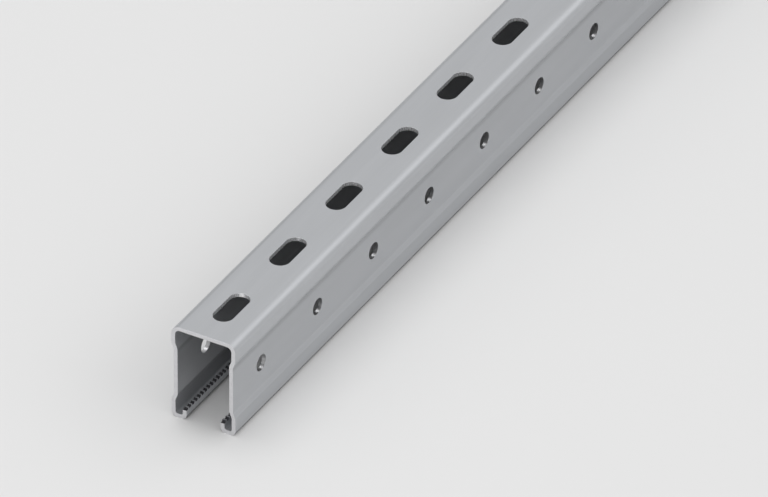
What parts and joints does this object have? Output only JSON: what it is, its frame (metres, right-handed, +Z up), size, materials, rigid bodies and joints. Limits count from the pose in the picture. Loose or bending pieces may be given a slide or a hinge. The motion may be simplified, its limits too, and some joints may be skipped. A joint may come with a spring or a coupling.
{
  "type": "strut channel",
  "caption": "Roll-formed steel strut channel with recessed side walls, slotted web, round side holes and toothed inturned lips.",
  "frame": {"origin": "on the floor under the middle of the channel", "axes": "+Y along the channel, +Z up from the open mouth to the web, +X to the right wall"},
  "size_m": [0.0412, 1, 0.0619],
  "materials": {
    "galvanised_steel": "galvanised, dull grey with fine rolling lines"
  },
  "bodies": {
    "root": {"strut_channel": "galvanised_steel"}
  },
  "joints": []
}
